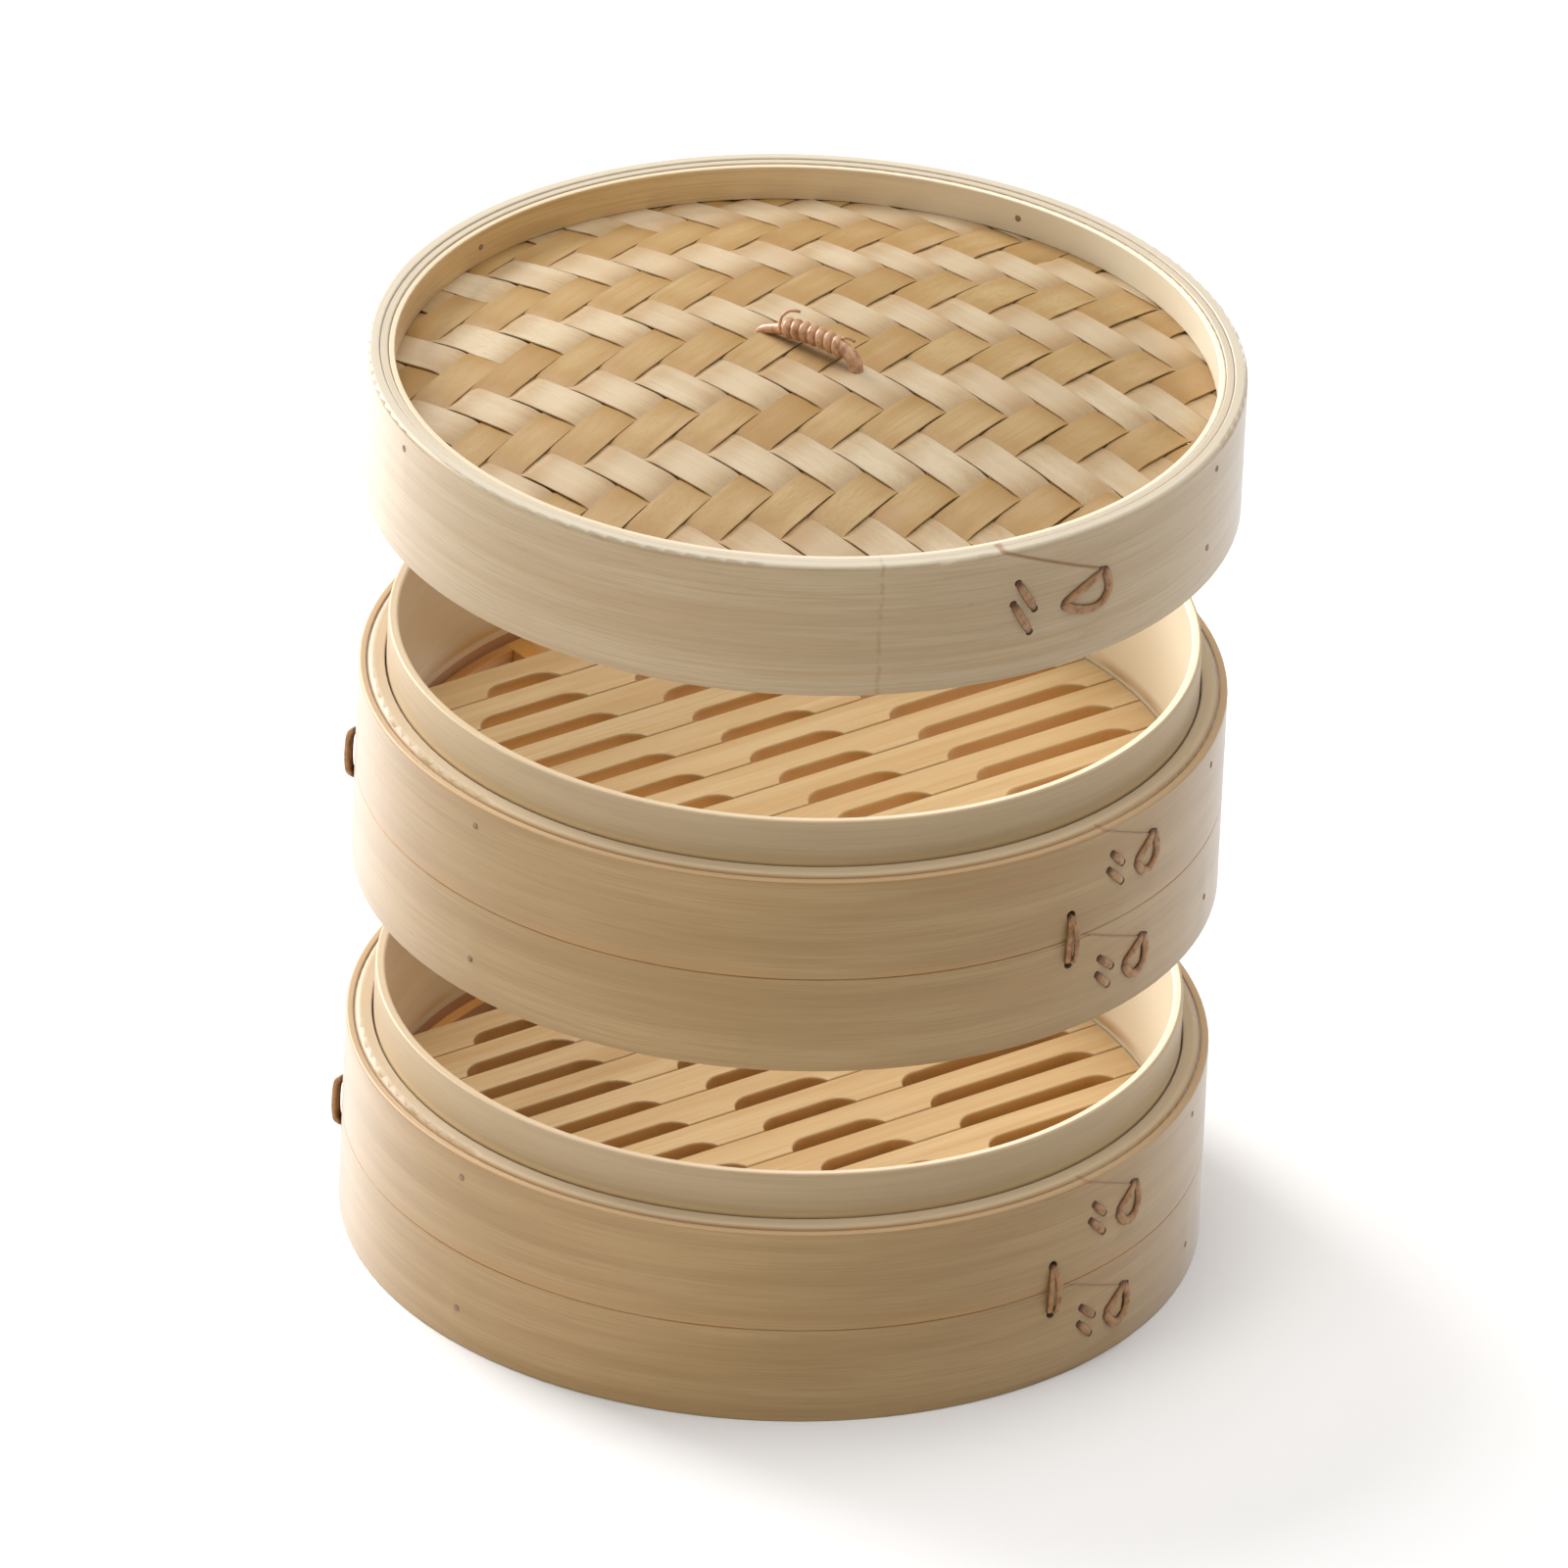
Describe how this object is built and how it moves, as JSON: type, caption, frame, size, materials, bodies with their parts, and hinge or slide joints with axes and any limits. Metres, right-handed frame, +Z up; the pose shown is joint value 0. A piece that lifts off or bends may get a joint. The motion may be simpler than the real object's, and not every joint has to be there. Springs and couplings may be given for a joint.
{
  "type": "bamboo steamer basket",
  "caption": "Round bamboo steamer with stacking slatted-floor baskets and a domed woven lid with a small cane handle; rattan-laced bent bands, tiers lift apart.",
  "frame": {"origin": "centre of the lower basket's foot ring, on the surface that it stands on", "axes": "+Z up along the stack's axis; -Y is the front, with the band lacing to the right of it"},
  "size_m": [0.2584, 0.256, 0.2957],
  "materials": {
    "pale_bamboo": "satin, fine lengthwise grain",
    "frame_bamboo": "satin, coarse grain",
    "slat_bamboo": "planed, satin",
    "peg_bamboo": "matte, end grain",
    "light_strip": "split bamboo, satin",
    "golden_strip": "split bamboo, satin",
    "rattan": "satin cane",
    "handle_rattan": "glossy cane"
  },
  "bodies": {
    "lower_basket": {"lower_inner_hoop": "pale_bamboo", "lower_middle_hoop": "pale_bamboo", "lower_top_band": "pale_bamboo", "lower_bottom_band": "pale_bamboo", "lower_floor_ledge": "frame_bamboo", "lower_batten_left": "frame_bamboo", "lower_batten_right": "frame_bamboo", "lower_slat_01": "slat_bamboo", "lower_slat_02": "slat_bamboo", "lower_slat_03": "slat_bamboo", "lower_slat_04": "slat_bamboo", "lower_slat_05": "slat_bamboo", "lower_slat_06": "slat_bamboo", "lower_slat_07": "slat_bamboo", "lower_slat_08": "slat_bamboo", "lower_slat_09": "slat_bamboo", "lower_slat_10": "slat_bamboo", "lower_slat_11": "slat_bamboo", "lower_slat_12": "slat_bamboo", "lower_slat_13": "slat_bamboo", "lower_slat_14": "slat_bamboo", "lower_top_lacing": "rattan", "lower_bottom_lacing": "rattan", "lower_seam_ties": "rattan", "lower_pegs": "peg_bamboo"},
    "upper_basket": {"upper_inner_hoop": "pale_bamboo", "upper_middle_hoop": "pale_bamboo", "upper_top_band": "pale_bamboo", "upper_bottom_band": "pale_bamboo", "upper_floor_ledge": "frame_bamboo", "upper_batten_left": "frame_bamboo", "upper_batten_right": "frame_bamboo", "upper_slat_01": "slat_bamboo", "upper_slat_02": "slat_bamboo", "upper_slat_03": "slat_bamboo", "upper_slat_04": "slat_bamboo", "upper_slat_05": "slat_bamboo", "upper_slat_06": "slat_bamboo", "upper_slat_07": "slat_bamboo", "upper_slat_08": "slat_bamboo", "upper_slat_09": "slat_bamboo", "upper_slat_10": "slat_bamboo", "upper_slat_11": "slat_bamboo", "upper_slat_12": "slat_bamboo", "upper_slat_13": "slat_bamboo", "upper_slat_14": "slat_bamboo", "upper_top_lacing": "rattan", "upper_bottom_lacing": "rattan", "upper_seam_ties": "rattan", "upper_pegs": "peg_bamboo"},
    "lid": {"lid_outer_hoop": "pale_bamboo", "lid_middle_hoop": "pale_bamboo", "lid_upper_lining": "pale_bamboo", "lid_lower_lining": "pale_bamboo", "lid_light_strips": "light_strip", "lid_golden_strips": "golden_strip", "lid_handle_core": "handle_rattan", "lid_handle_wrap": "handle_rattan", "lid_lacing": "rattan", "lid_pegs": "peg_bamboo"}
  },
  "joints": [
    {"name": "upper_basket_lift", "type": "slide", "parent": "lower_basket", "child": "upper_basket", "axis": [0, 0, 1], "range_m": [-0.0532, 0.03]},
    {"name": "lid_lift", "type": "slide", "parent": "upper_basket", "child": "lid", "axis": [0, 0, 1], "range_m": [-0.0606, 0.03]}
  ]
}
